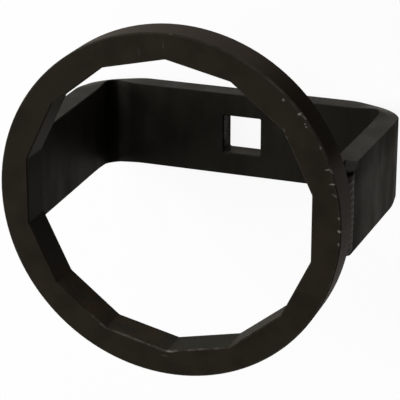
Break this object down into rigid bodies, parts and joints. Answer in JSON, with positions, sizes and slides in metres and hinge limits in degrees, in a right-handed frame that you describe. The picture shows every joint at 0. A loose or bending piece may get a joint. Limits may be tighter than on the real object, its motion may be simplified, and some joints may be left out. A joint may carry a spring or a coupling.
{
  "type": "oil filter cap wrench",
  "caption": "Ring wrench for a large oil filter cap: thick steel ring with a many-sided opening, welded to a U-shaped flat bar with a square drive hole.",
  "frame": {"origin": "centre of the square drive hole, on the bar's outer face, which the wrench stands on", "axes": "+Z along the axis of the drive hole and the ring, from the bar to the ring's open front; +X along the bar's span, across the two legs; +Y across the bar's width"},
  "size_m": [0.1643, 0.162, 0.1185],
  "materials": {
    "ring_steel": "dark brown-black oxide on steel, satin, worn bright along the rim",
    "strap_steel": "dark grey-black oxide on rolled steel bar, satin",
    "weld_metal": "rippled weld metal under the same dark oxide"
  },
  "bodies": {
    "root": {"ring_plate": "ring_steel", "drive_strap": "strap_steel", "weld_bead_left": "weld_metal", "weld_bead_right": "weld_metal"}
  },
  "joints": []
}
